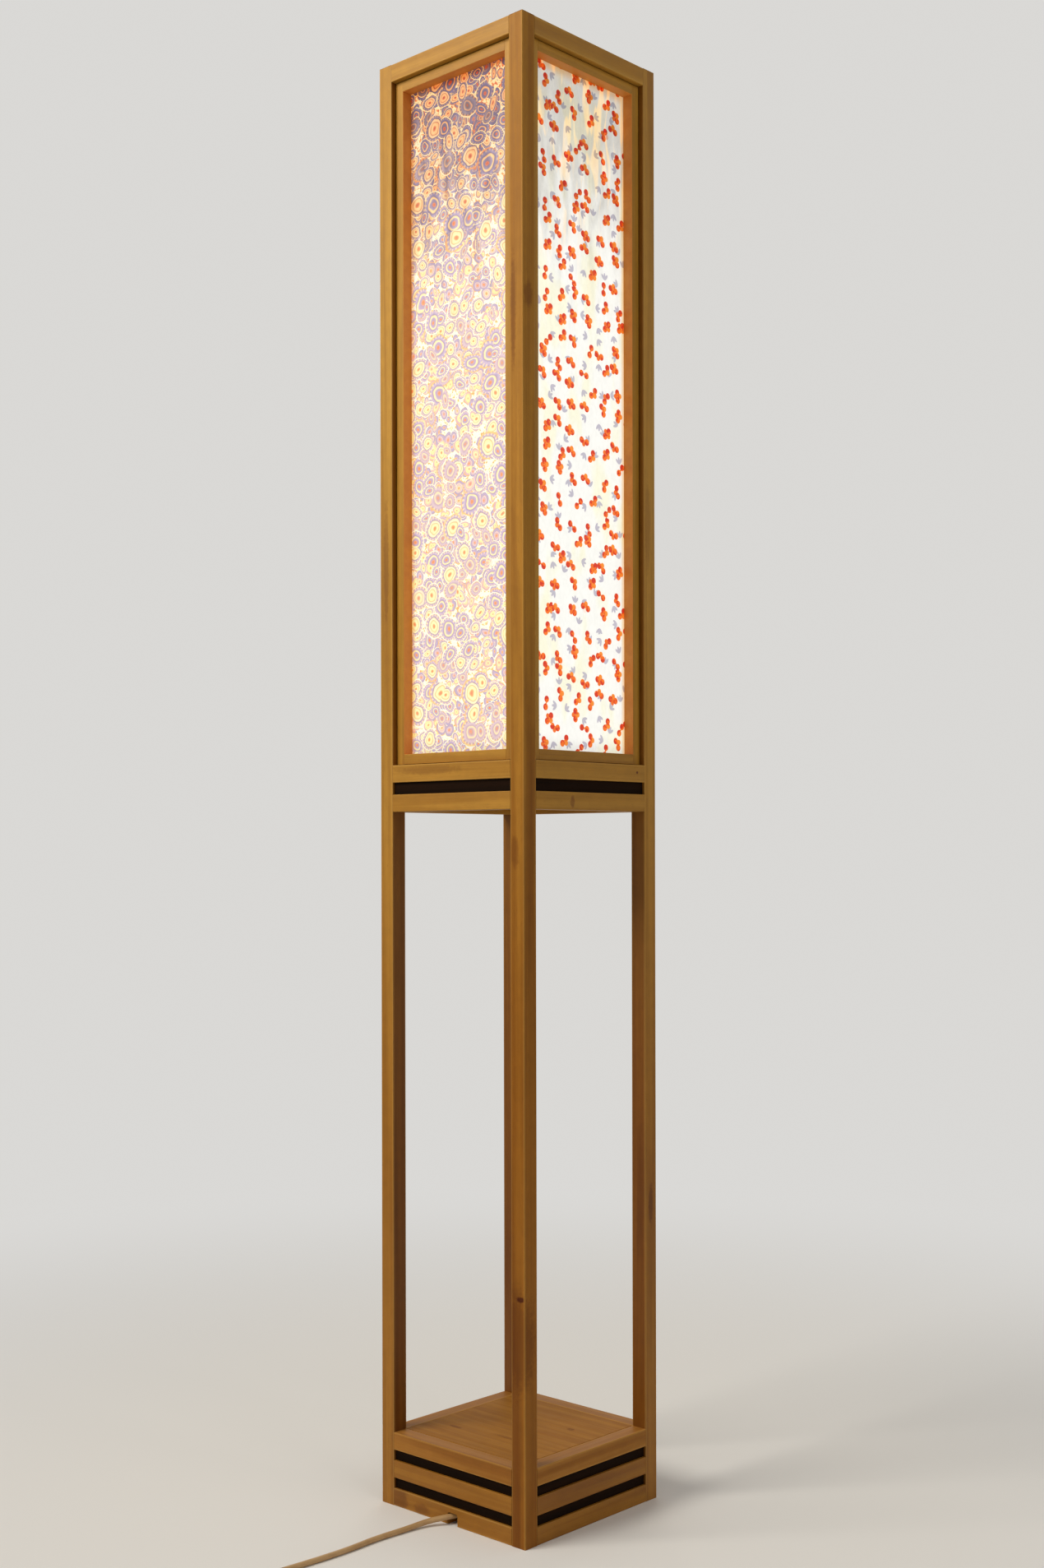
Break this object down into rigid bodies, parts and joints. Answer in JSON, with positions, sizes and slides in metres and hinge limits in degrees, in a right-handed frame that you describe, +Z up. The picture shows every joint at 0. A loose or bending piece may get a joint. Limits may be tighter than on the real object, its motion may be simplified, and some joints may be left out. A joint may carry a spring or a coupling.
{
  "type": "andon floor lamp",
  "caption": "Tall square lantern on four posts over an open bay and a low shelf, with printed glowing screens and a cord with an inline switch.",
  "frame": {"origin": "on the floor under the middle of the lamp's square plan", "axes": "+Z up; the front is -Y, where the cord comes out, and the right side is +X"},
  "size_m": [0.204, 0.6233, 1.5],
  "materials": {
    "honey_wood": "light hardwood, honey toned, clear satin lacquer",
    "dark_wood": "hardwood stained dark brown, satin",
    "floor_ply": "birch plywood, unfinished",
    "screen_sheet": "plastic-faced paper, printed, matt, translucent",
    "magnet": "nickel plated disc magnets",
    "white_plastic": "white moulded thermoplastic",
    "cap_aluminium": "pressed aluminium, satin",
    "tube_glass": "opal coated glass",
    "spine_enamel": "white stove enamel",
    "zinc_steel": "zinc plated steel",
    "grommet_rubber": "black rubber",
    "cord_vinyl": "beige vinyl sheath, semi-matt",
    "beige_plastic": "beige moulded plastic, fine matt texture",
    "rocker_plastic": "lighter beige moulded plastic",
    "pin_brass": "nickel plated brass"
  },
  "bodies": {
    "lamp_frame": {"ballast": "zinc_steel", "base_bottom_rail_front": "honey_wood", "base_bottom_rails": "honey_wood", "base_lower_slips": "dark_wood", "base_middle_rails": "honey_wood", "base_upper_slips": "dark_wood", "bead_magnets": "magnet", "clamp_screws": "zinc_steel", "cord_clamp": "white_plastic", "cord_coil": "cord_vinyl", "cord_end": "cord_vinyl", "cord_mid": "cord_vinyl", "cord_near": "cord_vinyl", "corner_beads": "honey_wood", "groove_cover": "honey_wood", "internal_lead": "cord_vinyl", "lampholders": "white_plastic", "lantern_floor": "floor_ply", "lantern_lower_rails": "honey_wood", "lantern_rail_back": "honey_wood", "lantern_rail_front": "honey_wood", "lantern_rail_left": "honey_wood", "lantern_rail_right": "honey_wood", "lantern_slips": "dark_wood", "lead_clip": "white_plastic", "lead_grommet": "grommet_rubber", "plug_body": "beige_plastic", "plug_pins": "pin_brass", "post_back_left": "honey_wood", "post_back_right": "honey_wood", "post_front_left": "honey_wood", "post_front_right": "honey_wood", "screen_frame_front": "honey_wood", "screen_frame_left": "honey_wood", "screen_frame_right": "honey_wood", "screen_front": "screen_sheet", "screen_left": "screen_sheet", "screen_right": "screen_sheet", "shelf_board": "honey_wood", "shelf_rail_back": "honey_wood", "shelf_rail_front": "honey_wood", "shelf_rail_left": "honey_wood", "shelf_rail_right": "honey_wood", "spine_channel": "spine_enamel", "spine_cover": "spine_enamel", "spine_foot": "zinc_steel", "spine_screws": "zinc_steel", "switch_base": "beige_plastic", "switch_cover": "beige_plastic", "top_rail_back": "honey_wood", "top_rail_front": "honey_wood", "top_rail_left": "honey_wood", "top_rail_right": "honey_wood"},
    "tube": {"lamp_tube": "tube_glass", "tube_caps": "cap_aluminium", "holder_rotors": "white_plastic"},
    "back_screen": {"screen_frame_back": "honey_wood", "screen_back": "screen_sheet", "screen_magnets": "magnet"},
    "rocker": {"switch_rocker": "rocker_plastic"}
  },
  "joints": [
    {"name": "tube_turn", "type": "hinge", "parent": "lamp_frame", "child": "tube", "pos_m": [0, 0, 1], "axis": [0, 0, 1], "range_deg": [0, 90]},
    {"name": "back_screen_out", "type": "slide", "parent": "lamp_frame", "child": "back_screen", "axis": [0, 1, 0], "range_m": [0, 0.03]},
    {"name": "rocker_tip", "type": "hinge", "parent": "lamp_frame", "child": "rocker", "pos_m": [-0.027, -0.397, 0.0116], "axis": [1, 0, 0], "range_deg": [0, 16]}
  ]
}
